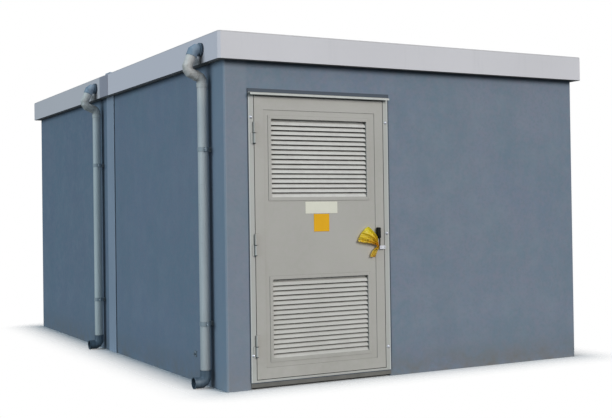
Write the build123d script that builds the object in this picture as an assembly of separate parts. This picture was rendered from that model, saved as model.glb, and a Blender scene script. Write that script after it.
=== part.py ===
from build123d import *
from math import ceil, cos, radians, sin, tan
import os

# Walk-in compact substation: two concrete room modules set end to end.
# X runs right along the front, Y runs back, Z is up, and the floor it stands on is Z = 0.
# The origin is the centre of the footprint.

# Overall sizes
building_width = 3290
module_depth = 2615
wall_height = 2390
roof_height = 200
roof_overhang = 65

# Concrete
wall_thickness = 120
wall_corner_chamfer = 10
roof_corner_chamfer = 18
roof_top_chamfer = 6
floor_thickness = 50
module_gap = 20
roof_rim_width = 90
roof_slab_high_side = 100
roof_slab_low_side = 60
drip_groove_width = 12
drip_groove_depth = 8
drip_groove_setback = 22

# Joint covers
wall_strip_width = 205
wall_strip_depth = 8
wall_strip_sheet = 3
fascia_strip_width = 245
fascia_strip_sheet = 4
roof_cap_width = 150
roof_cap_height = 25
roof_cap_sheet = 3
roof_cap_end_setback = 40

# Doorway
doorway_from_left = 190
doorway_width = 1200
doorway_top = 2184
threshold_proud = 4
threshold_above_ground = 14

# Door frame
frame_face = 42
frame_proud = 6
frame_sill_height = 16
seal_gap = 10
stop_width = 20
stop_depth = 20

# Door leaf
leaf_gap = 5
leaf_depth = 40
leaf_sheet = 2.5
lock_rail_height = 100
panel_margin_sides = 76
panel_margin_top = 98
panel_margin_bottom = 80
panel_recess = 4

# Drip cap over the door
cap_height = 20
cap_projection = 34
cap_fall = 6
cap_flange = 10
cap_sheet = 2
cap_drop_below_top = 20
cap_end_inset = 2

# Louvres
upper_louvre_below_leaf_top = 138
lower_louvre_above_leaf_foot = 118
louvre_from_leaf_left = 112
louvre_width = 870
louvre_border = 25
louvre_proud = 4
louvre_frame_depth = 34
louvre_top_gap = 10
slat_count = 16
slat_pitch = 35.5
slat_sheet = 2
slat_setback = 6
slat_face_rise = 22
slat_face_run = 9
slat_back_run = 15
slat_gap = 4.5
slat_end_gap = 0.3

# Hinges
hinge_heights = [313, 1050, 1868]
hinge_barrel_diameter = 18
hinge_length = 160
hinge_running_gap = 1
hinge_clearance = 1
hinge_pin_diameter = 8
hinge_pin_clearance = 0.1
hinge_pin_length = 60
hinge_pin_root = 1
hinge_plate_sheet = 3
hinge_plate_reach = 26

# Lock and handle
lock_from_leaf_right = 57
lock_height = 1115
lock_width = 30
lock_length = 84
lock_depth = 24
lock_corner = 5
lock_edge = 2
lever_pivot_above_block_foot = 16
lever_boss_diameter = 20
lever_boss_proud = 2
lever_width = 11
lever_tip_width = 8
lever_length = 72
lever_sheet = 5
lever_running_gap = 0.3
hasp_width = 54
hasp_length = 27
hasp_sheet = 4
hasp_tip_corner = 9
hasp_foot_width = 14
hasp_stand_off = 12
hasp_hole = 10
hasp_height = 1003
hasp_past_leaf = 6

# Plates on the door
plate_sheet = 2
cream_plate_size = (275, 89)
cream_plate_middle = 554
cream_plate_below_louvre = 9.5
yellow_plate_size = (132, 132)
yellow_plate_middle = 553
yellow_plate_below_cream_plate = 3.5

# Plastic tag tied at the hasp
tag_knot_radius = 10
tag_knot_above_hasp = 2
tag_fan_reach = 150
tag_fan_rise = 150
tag_fan_spread = 95
tag_tail_reach = 62
tag_tail_drop = 84
tag_thickness = 10
tag_stand_off = 7

# Rainwater pipes
pipe_diameter = 75
pipe_wall = 2.5
socket_wall = 3
joint_clearance = 0.3
pipe_from_module_front = 250
pipe_off_wall = 24
bend_cut_angle = 34
outlet_below_roof_top = 100
outlet_elbow_reach = 58
outlet_bend_inside = 4
outlet_elbow_leg = 56
outlet_collar_width = 10
outlet_collar_depth = 20
leg_lean = 22.5
leg_length = 172
run_fall = 22.5
offset_insertion = 24
offset_bend_inside = 10
offset_ring_from_turn = 44
offset_ring_width = 10
offset_socket_length = 30
offset_foot = 36
shoe_wall = 3.7
shoe_bend_inside = 6
shoe_floor_gap = 3
shoe_mouth_reach = 96
shoe_socket_length = 40
shoe_rib_height = 2.5
shoe_rib_width = 6
clamp_heights = [475, 1755]
clamp_band_width = 30
clamp_band_sheet = 3
clamp_lug_length = 22
clamp_lug_sheet = 8
clamp_strap_sheet = 8
clamp_strap_height = 16
clamp_plate_size = 34
clamp_plate_sheet = 4

# Earth terminal
earth_from_front = 585
earth_height = 212
earth_plate_size = 44
earth_plate_sheet = 5
earth_nut_width = 19
earth_nut_height = 9

# Places worked out from the sizes above
total_depth = 2 * module_depth
left = -building_width / 2
right = building_width / 2
front = -total_depth / 2
back = total_depth / 2
roof_top = wall_height + roof_height
door_left = left + doorway_from_left
door_right = door_left + doorway_width
frame_front = front - frame_proud
leaf_left = door_left + frame_face + leaf_gap
leaf_right = door_right - frame_face - leaf_gap
leaf_bottom = floor_thickness + frame_sill_height + leaf_gap
leaf_top = doorway_top - frame_face - leaf_gap
leaf_front = frame_front
leaf_back = leaf_front + leaf_depth
frame_depth = leaf_depth + seal_gap + stop_depth
panel_front = leaf_front + panel_recess
louvre_height = louvre_top_gap + slat_count * slat_pitch + 2 * louvre_border
louvre_heights = {"upper": leaf_top - upper_louvre_below_leaf_top - louvre_height,
                  "lower": leaf_bottom + lower_louvre_above_leaf_foot}
cream_plate_height = louvre_heights["upper"] - cream_plate_below_louvre - cream_plate_size[1] / 2
yellow_plate_height = (cream_plate_height - cream_plate_size[1] / 2
                       - yellow_plate_below_cream_plate - yellow_plate_size[1] / 2)
slat_back_rise = slat_pitch - slat_face_rise - slat_gap
hinge_radius = hinge_barrel_diameter / 2
hinge_x = leaf_left - leaf_gap / 2
hinge_y = frame_front - hinge_clearance - hinge_radius
pipe_radius = pipe_diameter / 2
socket_inner = pipe_radius + joint_clearance
socket_outer = socket_inner + socket_wall
outlet_x = left - roof_overhang
outlet_z = roof_top - outlet_below_roof_top
elbow_x = outlet_x - outlet_elbow_reach
pipe_x = left - pipe_off_wall - pipe_radius
elbow_bend = socket_outer + outlet_bend_inside
offset_bend = pipe_radius + offset_bend_inside
knee_x = elbow_x - leg_length * sin(radians(leg_lean))
knee_z = outlet_z - leg_length * cos(radians(leg_lean))
turn_z = knee_z - (pipe_x - knee_x) * tan(radians(run_fall))
offset_end = turn_z - offset_foot
shoe_radius = socket_inner + shoe_wall
shoe_bend = shoe_radius + shoe_bend_inside
mouth_x = pipe_x - shoe_mouth_reach
mouth_z = shoe_floor_gap + shoe_radius + shoe_rib_height
shoe_top = mouth_z + shoe_bend + shoe_socket_length
pipe_places = [front + pipe_from_module_front, pipe_from_module_front]


def box_between(low, high):
    """A block from its lowest corner to its highest."""
    size = [high[i] - low[i] for i in range(3)]
    middle = [(high[i] + low[i]) / 2 for i in range(3)]
    return Pos(*middle) * Box(*size)


def rod(start, axis, radius, length):
    """A round bar from start along +X, +Y or +Z, or back along them when length is negative."""
    directions = {"X": (1, 0, 0), "Y": (0, 1, 0), "Z": (0, 0, 1)}
    plane = Plane(origin=start, z_dir=directions[axis])
    return extrude(plane * Circle(radius), amount=length)


def prism(section, outline, length):
    """An outline on a section plane, drawn out along the plane's own direction."""
    return extrude(section * outline, amount=length, dir=section.z_dir)


def side_x(side):
    """The outside of the left or right wall, and the sign that points away from the building."""
    if side == "left":
        return left, -1
    return right, 1


def save(name, *solids):
    """Writes one sub-part. Several solids in it don't touch."""
    shape = solids[0] if len(solids) == 1 else Compound(children=list(solids))
    shape.label = name
    export_step(shape, os.path.join("parts", name + ".step"))


# Concrete walls and floors


def corner_post_chamfer(wall, x, y):
    """Takes the sharp outer upright corner off a wall."""
    edges = [e for e in wall.edges().filter_by(Axis.Z)
             if abs(e.center().X - x) < 1 and abs(e.center().Y - y) < 1]
    return chamfer(edges, wall_corner_chamfer)


def make_walls():
    inner_front = front + wall_thickness
    inner_back = back - wall_thickness
    half_gap = module_gap / 2
    pier = box_between((left, front, 0), (door_left, inner_front, wall_height))
    save("front_wall_left", corner_post_chamfer(pier, left, front))
    wing = box_between((door_right, front, 0), (right, inner_front, wall_height))
    save("front_wall_right", corner_post_chamfer(wing, right, front))
    lintel = box_between((door_left, front, doorway_top), (door_right, inner_front, wall_height))
    save("front_wall_over_door", lintel)
    rear = box_between((left, inner_back, 0), (right, back, wall_height))
    rear = corner_post_chamfer(rear, left, back)
    rear = corner_post_chamfer(rear, right, back)
    save("back_wall", rear)
    for side in ("left", "right"):
        outer, away = side_x(side)
        inner = outer - away * wall_thickness
        low_x = min(outer, inner)
        high_x = max(outer, inner)
        near = box_between((low_x, inner_front, 0), (high_x, -half_gap, wall_height))
        far = box_between((low_x, half_gap, 0), (high_x, inner_back, wall_height))
        save("near_" + side + "_wall", near)
        save("far_" + side + "_wall", far)


def make_floors():
    low_x = left + wall_thickness
    high_x = right - wall_thickness
    near = box_between((low_x, front + wall_thickness, 0), (high_x, 0, floor_thickness))
    far = box_between((low_x, 0, 0), (high_x, back - wall_thickness, floor_thickness))
    save("near_floor", near)
    save("far_floor", far)


# Roof trays


def roof_tray(name, low_y, high_y, outer_y, outlet_y):
    """A lid with a raised rim, a sunken top that falls to the left, and an outlet through the rim."""
    low_x = left - roof_overhang
    high_x = right + roof_overhang
    lid = box_between((low_x, low_y, wall_height), (high_x, high_y, roof_top))
    corners = [e for e in lid.edges().filter_by(Axis.Z) if abs(e.center().Y - outer_y) < 1]
    lid = chamfer(corners, roof_corner_chamfer)
    lid = chamfer(lid.faces().sort_by(Axis.Z)[-1].outer_wire().edges(), roof_top_chamfer)
    basin_left = low_x + roof_rim_width
    basin_right = high_x - roof_rim_width
    basin = Polygon((basin_left, wall_height + roof_slab_low_side),
                    (basin_right, wall_height + roof_slab_high_side),
                    (basin_right, roof_top + roof_height),
                    (basin_left, roof_top + roof_height), align=None)
    section = Plane(origin=(0, high_y - roof_rim_width, 0), x_dir=(1, 0, 0), z_dir=(0, -1, 0))
    lid -= prism(section, basin, high_y - low_y - 2 * roof_rim_width)
    lid -= rod((outlet_x, outlet_y, outlet_z), "X", pipe_radius - pipe_wall, roof_rim_width)
    lid -= drip_grooves(low_x, high_x, low_y, high_y, outer_y)
    save(name, lid)


def drip_grooves(low_x, high_x, low_y, high_y, outer_y):
    """Grooves under the overhang that make rain let go before it reaches the wall."""
    top = wall_height + drip_groove_depth
    reach = drip_groove_setback + drip_groove_width
    inner_low_y = low_y + drip_groove_setback if outer_y == low_y else low_y
    inner_high_y = high_y - drip_groove_setback if outer_y == high_y else high_y
    grooves = []
    for a in (low_x + drip_groove_setback, high_x - reach):
        groove = box_between((a, inner_low_y, wall_height), (a + drip_groove_width, inner_high_y, top))
        grooves.append(groove)
    b = low_y + drip_groove_setback if outer_y == low_y else high_y - reach
    groove = box_between((low_x + drip_groove_setback, b, wall_height),
                         (high_x - drip_groove_setback, b + drip_groove_width, top))
    grooves.append(groove)
    return grooves


def make_roofs():
    half_gap = module_gap / 2
    near_front = front - roof_overhang
    far_back = back + roof_overhang
    roof_tray("near_roof", near_front, -half_gap, near_front, pipe_places[0])
    roof_tray("far_roof", half_gap, far_back, far_back, pipe_places[1])
    half = roof_cap_width / 2
    start = left - roof_overhang + roof_cap_end_setback
    end = right + roof_overhang - roof_cap_end_setback
    cap = box_between((start, -half, roof_top), (end, half, roof_top + roof_cap_height))
    cap = chamfer(cap.edges().filter_by(Axis.X).sort_by(Axis.Z)[-2:], roof_top_chamfer)
    inner_top = roof_top + roof_cap_height - roof_cap_sheet
    cap -= box_between((start + roof_cap_sheet, -half + roof_cap_sheet, roof_top),
                       (end - roof_cap_sheet, half - roof_cap_sheet, inner_top))
    save("roof_joint_cap", cap)


def make_joint_strips():
    """Folded sheet covers over the upright joint: a shallow channel on the wall, a flat on the fascia."""
    for side in ("left", "right"):
        outer, away = side_x(side)
        half = wall_strip_width / 2
        face = outer + away * wall_strip_depth
        strip = box_between((min(outer, face), -half, 0), (max(outer, face), half, wall_height))
        strip = chamfer(strip.faces().sort_by(Axis.X)[0 if away < 0 else -1].edges().filter_by(Axis.Z),
                        wall_strip_sheet)
        inner = face - away * wall_strip_sheet
        strip -= box_between((min(outer, inner), -half + 2 * wall_strip_sheet, 0),
                             (max(outer, inner), half - 2 * wall_strip_sheet, wall_height))
        save(side + "_wall_strip", strip)
        fascia = outer + away * roof_overhang
        cover = fascia + away * fascia_strip_sheet
        half = fascia_strip_width / 2
        flat = box_between((min(fascia, cover), -half, wall_height),
                           (max(fascia, cover), half, roof_top - roof_top_chamfer))
        save(side + "_fascia_strip", flat)


# Doorway, frame and leaf


def make_frame():
    sill = box_between((door_left, front - threshold_proud, threshold_above_ground),
                       (door_right, front + wall_thickness, floor_thickness))
    sill = chamfer(sill.edges().filter_by(Axis.X).group_by(Axis.Y)[0].sort_by(Axis.Z)[-1], threshold_proud)
    save("threshold", sill)
    back_y = frame_front + frame_depth
    frame = box_between((door_left, frame_front, floor_thickness), (door_right, back_y, doorway_top))
    frame -= box_between((door_left + frame_face, frame_front, floor_thickness + frame_sill_height),
                         (door_right - frame_face, back_y - stop_depth, doorway_top - frame_face))
    frame -= box_between((door_left + frame_face + stop_width, back_y - stop_depth,
                          floor_thickness + frame_sill_height),
                         (door_right - frame_face - stop_width, back_y,
                          doorway_top - frame_face - stop_width))
    save("door_frame", frame)


def make_drip_cap():
    """A folded sheet: a flange on the frame head, a sloping top and a turned-down nose."""
    top = doorway_top - cap_drop_below_top
    bottom = top - cap_height
    nose = frame_front - cap_projection
    flange_foot = top - cap_flange - cap_sheet
    outline = Polygon((frame_front, flange_foot), (frame_front, top),
                      (nose, top - cap_fall), (nose, bottom), (nose + cap_sheet, bottom),
                      (nose + cap_sheet, top - cap_fall - cap_sheet),
                      (frame_front - cap_sheet, top - cap_sheet),
                      (frame_front - cap_sheet, flange_foot), align=None)
    section = Plane(origin=(door_left + cap_end_inset, 0, 0), x_dir=(0, 1, 0), z_dir=(1, 0, 0))
    save("drip_cap", prism(section, outline, doorway_width - 2 * cap_end_inset))


def louvre_box(low_z, grow, near_y, far_y):
    """The block that a louvre's opening takes, grown or shrunk all round."""
    low_x = leaf_left + louvre_from_leaf_left
    return box_between((low_x - grow, near_y, low_z - grow),
                       (low_x + louvre_width + grow, far_y, low_z + louvre_height + grow))


def make_leaf():
    """A pressed pan with a sunken panel, a rail behind the lock and edged louvre holes."""
    leaf = box_between((leaf_left, leaf_front, leaf_bottom), (leaf_right, leaf_back, leaf_top))
    hollow = box_between((leaf_left + leaf_sheet, leaf_front + leaf_sheet, leaf_bottom + leaf_sheet),
                         (leaf_right - leaf_sheet, leaf_back, leaf_top - leaf_sheet))
    low_x = leaf_left + panel_margin_sides
    high_x = leaf_right - panel_margin_sides
    low_z = leaf_bottom + panel_margin_bottom
    high_z = leaf_top - panel_margin_top
    hollow -= box_between((low_x - leaf_sheet, leaf_front, low_z - leaf_sheet),
                          (high_x + leaf_sheet, panel_front + leaf_sheet, high_z + leaf_sheet))
    for web_z in (lock_height - lock_rail_height / 2, lock_height + lock_rail_height / 2):
        hollow -= box_between((leaf_left, leaf_front, web_z), (leaf_right, leaf_back, web_z + leaf_sheet))
    for louvre_z in louvre_heights.values():
        hollow -= louvre_box(louvre_z, 0, leaf_front, leaf_back)
    leaf -= hollow
    leaf -= box_between((low_x, leaf_front, low_z), (high_x, panel_front, high_z))
    for louvre_z in louvre_heights.values():
        leaf -= louvre_box(louvre_z, -leaf_sheet, leaf_front, leaf_back)
    save("door_leaf", leaf)


def slat(low_x, high_x, front_y, low_z):
    """One louvre blade: a face that leans back a little, then a flatter slope up behind the blade above."""
    sheet = slat_sheet
    crease_y = front_y + slat_face_run
    crease_z = low_z + slat_face_rise
    back_y = crease_y + slat_back_run
    back_z = crease_z + slat_back_rise
    outline = Polygon((front_y, low_z), (front_y + sheet, low_z), (crease_y + sheet, crease_z - sheet),
                      (back_y, back_z - sheet), (back_y, back_z), (crease_y, crease_z), align=None)
    section = Plane(origin=(low_x, 0, 0), x_dir=(0, 1, 0), z_dir=(1, 0, 0))
    return prism(section, outline, high_x - low_x)


def make_louvres():
    face_y = panel_front - louvre_proud
    back_y = face_y + louvre_frame_depth
    low_x = leaf_left + louvre_from_leaf_left + louvre_border + slat_end_gap
    high_x = leaf_left + louvre_from_leaf_left + louvre_width - louvre_border - slat_end_gap
    for name, low_z in louvre_heights.items():
        border = louvre_box(low_z, -leaf_sheet - joint_clearance, panel_front, back_y)
        border += louvre_box(low_z, 0, face_y, panel_front)
        border -= louvre_box(low_z, -louvre_border, face_y, back_y)
        save(name + "_louvre_frame", border)
        first = low_z + louvre_border + slat_end_gap
        slats = [slat(low_x, high_x, face_y + slat_setback, first + i * slat_pitch) for i in range(slat_count)]
        save(name + "_louvre_slats", *slats)


# Hinges, lock, plates and tag


def frame_hinge(height):
    """Lower barrel with its pin, and the plate that is welded to the frame."""
    foot = height - hinge_length / 2
    half = (hinge_length - hinge_running_gap) / 2
    barrel = rod((hinge_x, hinge_y, foot), "Z", hinge_radius, half)
    pin = rod((hinge_x, hinge_y, foot + half - hinge_pin_root), "Z", hinge_pin_diameter / 2, hinge_pin_length)
    plate = box_between((hinge_x - hinge_plate_reach, frame_front - hinge_plate_sheet, foot),
                        (hinge_x, frame_front, foot + half))
    return barrel + plate + pin


def leaf_hinge(height):
    """Upper barrel, bored for the pin, and the plate that is welded to the leaf."""
    foot = height - hinge_length / 2 + (hinge_length + hinge_running_gap) / 2
    half = (hinge_length - hinge_running_gap) / 2
    barrel = rod((hinge_x, hinge_y, foot), "Z", hinge_radius, half)
    plate = box_between((hinge_x, leaf_front - hinge_plate_sheet, foot),
                        (hinge_x + hinge_plate_reach + leaf_gap, leaf_front, foot + half))
    bore = rod((hinge_x, hinge_y, foot), "Z", hinge_pin_diameter / 2 + hinge_pin_clearance, hinge_pin_length)
    return barrel + plate - bore


def make_hinges():
    save("frame_hinges", *[frame_hinge(h) for h in hinge_heights])
    save("leaf_hinges", *[leaf_hinge(h) for h in hinge_heights])


def make_lock():
    centre_x = leaf_right - lock_from_leaf_right
    block = box_between((centre_x - lock_width / 2, leaf_front - lock_depth, lock_height - lock_length / 2),
                        (centre_x + lock_width / 2, leaf_front, lock_height + lock_length / 2))
    block = chamfer(block.edges().filter_by(Axis.Y), lock_corner)
    save("lock_block", chamfer(block.faces().sort_by(Axis.Y)[0].edges(), lock_edge))
    pivot_z = lock_height - lock_length / 2 + lever_pivot_above_block_foot
    lever_back = leaf_front - lock_depth - lever_running_gap
    boss = rod((centre_x, lever_back, pivot_z), "Y", lever_boss_diameter / 2, -lever_sheet - lever_boss_proud)
    arm_outline = Polygon((centre_x - lever_width / 2, pivot_z), (centre_x + lever_width / 2, pivot_z),
                          (centre_x + lever_tip_width / 2, pivot_z - lever_length),
                          (centre_x - lever_tip_width / 2, pivot_z - lever_length), align=None)
    section = Plane(origin=(0, lever_back, 0), x_dir=(1, 0, 0), z_dir=(0, -1, 0))
    save("handle_lever", boss + prism(section, arm_outline, lever_sheet))
    high_x = leaf_right + hasp_past_leaf
    low_x = high_x - hasp_width
    tongue_back = leaf_front - hasp_stand_off
    tongue = box_between((low_x, tongue_back - hasp_sheet, hasp_height - hasp_length / 2),
                         (high_x, tongue_back, hasp_height + hasp_length / 2))
    tongue = chamfer(tongue.edges().filter_by(Axis.Y).group_by(Axis.X)[-1], hasp_tip_corner)
    foot = box_between((low_x, tongue_back, hasp_height - hasp_length / 2),
                       (low_x + hasp_foot_width, leaf_front, hasp_height + hasp_length / 2))
    hole_x = leaf_right - hasp_past_leaf / 2
    hole = rod((hole_x, tongue_back, hasp_height), "Y", hasp_hole / 2, -hasp_sheet)
    save("hasp", tongue + foot - hole)


def door_plate(name, size, centre):
    """A thin blank plate, flat on the leaf's sunken panel."""
    section = Plane(origin=(leaf_left + centre[0], panel_front, centre[1]), x_dir=(1, 0, 0), z_dir=(0, -1, 0))
    save(name, prism(section, Rectangle(size[0], size[1]), plate_sheet))


def make_tag():
    """The plastic tag as a plain solid: a fan to the left, the knot, and a short tail."""
    hasp_left = leaf_right + hasp_past_leaf - hasp_width
    x = hasp_left - joint_clearance - tag_knot_radius
    z = hasp_height + tag_knot_above_hasp
    fan = Polygon((x, z), (x - tag_fan_reach, z + tag_fan_rise - tag_fan_spread),
                  (x - tag_fan_spread, z + tag_fan_rise), align=None)
    tail = Polygon((x, z), (x - tag_tail_reach, z - tag_tail_drop + tag_thickness),
                   (x - tag_tail_reach + 2 * tag_thickness, z - tag_tail_drop), align=None)
    knot = Pos(x, z) * Circle(tag_knot_radius)
    section = Plane(origin=(0, leaf_front - tag_stand_off, 0), x_dir=(1, 0, 0), z_dir=(0, -1, 0))
    save("yellow_tag", prism(section, fan, tag_thickness) + prism(section, tail, tag_thickness)
         + prism(section, knot, tag_thickness))


# Rainwater pipes


def mitred_run(corners, bend_radius):
    """A path of straight pieces that takes each bend in equal mitred cuts."""
    points = [Vector(*corners[0])]
    for i in range(1, len(corners) - 1):
        corner = Vector(*corners[i])
        backward = (Vector(*corners[i - 1]) - corner).normalized()
        onward = (Vector(*corners[i + 1]) - corner).normalized()
        turn = 180 - backward.get_angle(onward)
        start = corner + backward * bend_radius * tan(radians(turn / 2))
        centre = corner + (backward + onward).normalized() * (bend_radius / cos(radians(turn / 2)))
        cuts = ceil(turn / bend_cut_angle)
        spoke = (start - centre) / cos(radians(turn / (2 * cuts)))
        axis = Axis((0, 0, 0), onward.cross(backward))
        points += [centre + spoke.rotate(axis, turn * (cut + 0.5) / cuts) for cut in range(cuts)]
    points.append(Vector(*corners[-1]))
    return Polyline(*points)


def tube(corners, bend_radius, outer_radius, wall):
    """A bent pipe through these corners."""
    path = mitred_run(corners, bend_radius)
    start = Plane(origin=path @ 0, z_dir=path % 0)
    outer = sweep(start * Circle(outer_radius), path=path, transition=Transition.RIGHT)
    inner = sweep(start * Circle(outer_radius - wall), path=path, transition=Transition.RIGHT)
    return outer - inner


def collar(start, axis, inner_radius, outer_radius, length):
    """A short round ring or a straight pipe."""
    return rod(start, axis, outer_radius, length) - rod(start, axis, inner_radius, length)


def leg_point(y, distance):
    """A place on the leaning leg's middle line, this far from the elbow's corner."""
    lean = radians(leg_lean)
    return (elbow_x - distance * sin(lean), y, outlet_z - distance * cos(lean))


def outlet_elbow(y):
    """Collar on the fascia, then a bend down and a little outwards."""
    corners = [(outlet_x, y, outlet_z), (elbow_x, y, outlet_z), leg_point(y, outlet_elbow_leg)]
    elbow = tube(corners, elbow_bend, socket_outer, socket_wall)
    return elbow + collar(corners[0], "X", socket_inner, socket_outer + outlet_collar_width,
                          -outlet_collar_depth)


def offset_pipe(y):
    """A leaning leg up into the elbow, a ringed run back to the wall and a socket for the downpipe."""
    turn = Vector(pipe_x, y, turn_z)
    corners = [leg_point(y, outlet_elbow_leg - offset_insertion), leg_point(y, leg_length),
               turn, (pipe_x, y, offset_end)]
    offset = tube(corners, offset_bend, pipe_radius, pipe_wall)
    backward = (Vector(*corners[1]) - turn).normalized()
    ring = [turn + backward * offset_ring_from_turn,
            turn + backward * (offset_ring_from_turn + offset_ring_width)]
    offset += tube(ring, offset_bend, socket_outer, socket_outer - pipe_radius + pipe_wall / 2)
    offset += collar((pipe_x, y, offset_end + socket_wall), "Z", pipe_radius - pipe_wall, socket_outer,
                     -socket_wall)
    return offset + collar((pipe_x, y, offset_end), "Z", socket_inner, socket_outer, -offset_socket_length)


def rain_shoe(y):
    """A socket round the downpipe's foot and a bend that throws the water outwards."""
    corners = [(pipe_x, y, shoe_top), (pipe_x, y, mouth_z), (mouth_x, y, mouth_z)]
    shoe = tube(corners, shoe_bend, shoe_radius, shoe_wall)
    rib_radius = shoe_radius + shoe_rib_height
    shoe += collar(corners[0], "Z", socket_inner, rib_radius, -shoe_rib_width)
    return shoe + collar(corners[2], "X", socket_inner, rib_radius, shoe_rib_width)


def downpipe(y):
    """The straight pipe from the offset's socket into the shoe's."""
    foot = mouth_z + shoe_bend + joint_clearance
    return collar((pipe_x, y, foot), "Z", pipe_radius - pipe_wall, pipe_radius,
                  offset_end - joint_clearance - foot)


def pipe_clamp(y, height):
    """Band round the pipe, bolt lugs to the side, and a strap back to its plate on the wall."""
    outer = socket_inner + clamp_band_sheet
    foot = height - clamp_band_width / 2
    clamp = rod((pipe_x, y, foot), "Z", outer, clamp_band_width)
    reach = outer + clamp_lug_length
    clamp += box_between((pipe_x - clamp_lug_sheet / 2, y - reach, foot),
                         (pipe_x + clamp_lug_sheet / 2, y + reach, foot + clamp_band_width))
    clamp += box_between((pipe_x, y - clamp_strap_sheet / 2, height - clamp_strap_height / 2),
                         (left, y + clamp_strap_sheet / 2, height + clamp_strap_height / 2))
    half = clamp_plate_size / 2
    clamp += box_between((left - clamp_plate_sheet, y - half, height - half), (left, y + half, height + half))
    return clamp - rod((pipe_x, y, foot), "Z", socket_inner, clamp_band_width)


def make_rain_pipes():
    save("outlet_elbows", *[outlet_elbow(y) for y in pipe_places])
    save("offset_bends", *[offset_pipe(y) for y in pipe_places])
    save("downpipes", *[downpipe(y) for y in pipe_places])
    save("rain_shoes", *[rain_shoe(y) for y in pipe_places])
    save("pipe_clamps", *[pipe_clamp(y, height) for y in pipe_places for height in clamp_heights])


def make_earth_terminal():
    y = front + earth_from_front
    half = earth_plate_size / 2
    plate = box_between((left - earth_plate_sheet, y - half, earth_height - half),
                        (left, y + half, earth_height + half))
    section = Plane(origin=(left - earth_plate_sheet, y, earth_height), z_dir=(-1, 0, 0))
    nut = prism(section, RegularPolygon(earth_nut_width / 2, 6, major_radius=False), earth_nut_height)
    save("earth_terminal", plate + nut)


os.makedirs("parts", exist_ok=True)
make_walls()
make_floors()
make_roofs()
make_joint_strips()
make_frame()
make_drip_cap()
make_leaf()
make_louvres()
make_hinges()
make_lock()
door_plate("cream_plate", cream_plate_size, (cream_plate_middle, cream_plate_height))
door_plate("yellow_plate", yellow_plate_size, (yellow_plate_middle, yellow_plate_height))
make_tag()
make_rain_pipes()
make_earth_terminal()
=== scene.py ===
import math

import bmesh
import bpy
from mathutils import Matrix, Vector, noise


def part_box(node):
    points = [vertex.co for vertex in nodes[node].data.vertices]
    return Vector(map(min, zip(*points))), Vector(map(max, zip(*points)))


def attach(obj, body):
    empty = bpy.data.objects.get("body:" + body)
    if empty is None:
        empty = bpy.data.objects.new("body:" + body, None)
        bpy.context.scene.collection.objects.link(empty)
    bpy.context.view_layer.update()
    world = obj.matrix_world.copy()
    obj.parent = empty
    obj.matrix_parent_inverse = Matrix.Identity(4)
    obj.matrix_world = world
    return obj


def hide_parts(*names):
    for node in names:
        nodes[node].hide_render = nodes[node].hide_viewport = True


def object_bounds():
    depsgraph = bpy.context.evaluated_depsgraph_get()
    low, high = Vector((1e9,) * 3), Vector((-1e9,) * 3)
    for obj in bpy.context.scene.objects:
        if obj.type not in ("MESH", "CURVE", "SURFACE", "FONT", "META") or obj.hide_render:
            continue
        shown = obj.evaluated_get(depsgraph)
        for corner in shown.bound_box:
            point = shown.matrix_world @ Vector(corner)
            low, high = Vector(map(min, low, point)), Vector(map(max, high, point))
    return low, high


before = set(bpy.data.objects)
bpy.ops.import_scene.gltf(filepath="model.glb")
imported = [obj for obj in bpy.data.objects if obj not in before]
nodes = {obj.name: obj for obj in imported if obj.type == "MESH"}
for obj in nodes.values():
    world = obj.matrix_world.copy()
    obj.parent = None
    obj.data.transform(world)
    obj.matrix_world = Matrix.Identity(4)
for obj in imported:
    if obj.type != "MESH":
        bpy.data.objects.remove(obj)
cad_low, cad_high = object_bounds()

# Looks for a walk-in compact substation: painted render, smooth fascia, louvred steel door and
# rainwater pipes. Metres. X runs right along the front, Y runs back, Z is up, and the floor it
# stands on is Z = 0.

# Places read from the frame
frame_low, frame_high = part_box("door_frame")
wall_low, wall_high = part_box("front_wall_left")
clamps_low, clamps_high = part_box("pipe_clamps")
pipes_low, pipes_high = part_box("downpipes")
left_strip_low, left_strip_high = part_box("left_wall_strip")
right_strip_low, right_strip_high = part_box("right_wall_strip")
earth_low, earth_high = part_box("earth_terminal")
roof_low, roof_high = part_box("near_roof")
leaf_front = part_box("door_leaf")[0].y
cap_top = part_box("drip_cap")[1].z
pipe_radius = (pipes_high.x - pipes_low.x) / 2
pipe_lines = (pipes_low.y + pipe_radius, pipes_high.y - pipe_radius)
wall_left = wall_low.x
wall_front = wall_low.y

# Small fixings
bolt_head_radius = 0.0085
bolt_head_height = 0.005
bolt_washer_radius = 0.0125
bolt_washer_height = 0.0015
frame_bolt_inset = 0.021
frame_bolt_heights_left = (0.246, 1.981)
frame_bolt_heights_right = (0.230, 1.110, 1.971)
strip_fixing_heights = (0.18, 0.72, 1.30, 1.855)
strip_fixing_radius = 0.007
strip_fixing_height = 0.003
lug_screw_radius = 0.0055
lug_screw_height = 0.004
lug_screw_from_end = 0.011
lug_face_from_pipe_middle = 0.004
clamp_half_height = 0.015
earth_stud_radius = 0.006
earth_stud_length = 0.009
earth_stud_chamfer = 0.0015
earth_stud_sunk = 0.002
rivet_radius = 0.004
rivet_height = 0.0015
rivet_inset = 0.0125
dome_sweep = math.radians(85)

# Beads, gaps, lips and rings
sealant_left_width = 0.007
sealant_left_proud = 0.003
sealant_right_width = 0.011
sealant_right_proud = 0.004
sealant_top_height = 0.008
sealant_foot_height = 0.006
sealant_foot_proud = 0.001
sealant_past_frame = 0.001
strip_gap_width = 0.012
strip_gap_proud = 0.002
bead_easing = 0.3
hinge_heights = (0.313, 1.050, 1.868)
hinge_length = 0.160
hinge_barrel_radius = 0.009
hinge_half_gap = 0.0005
hinge_ring_proud = 0.0005
hinge_ring_height = 0.005
hinge_ring_easing = 0.15
hinge_ring_edge_share = 0.96
louvre_border = 0.025
louvre_lip_height = 0.016
louvre_lip_sheet = 0.0015

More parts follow.
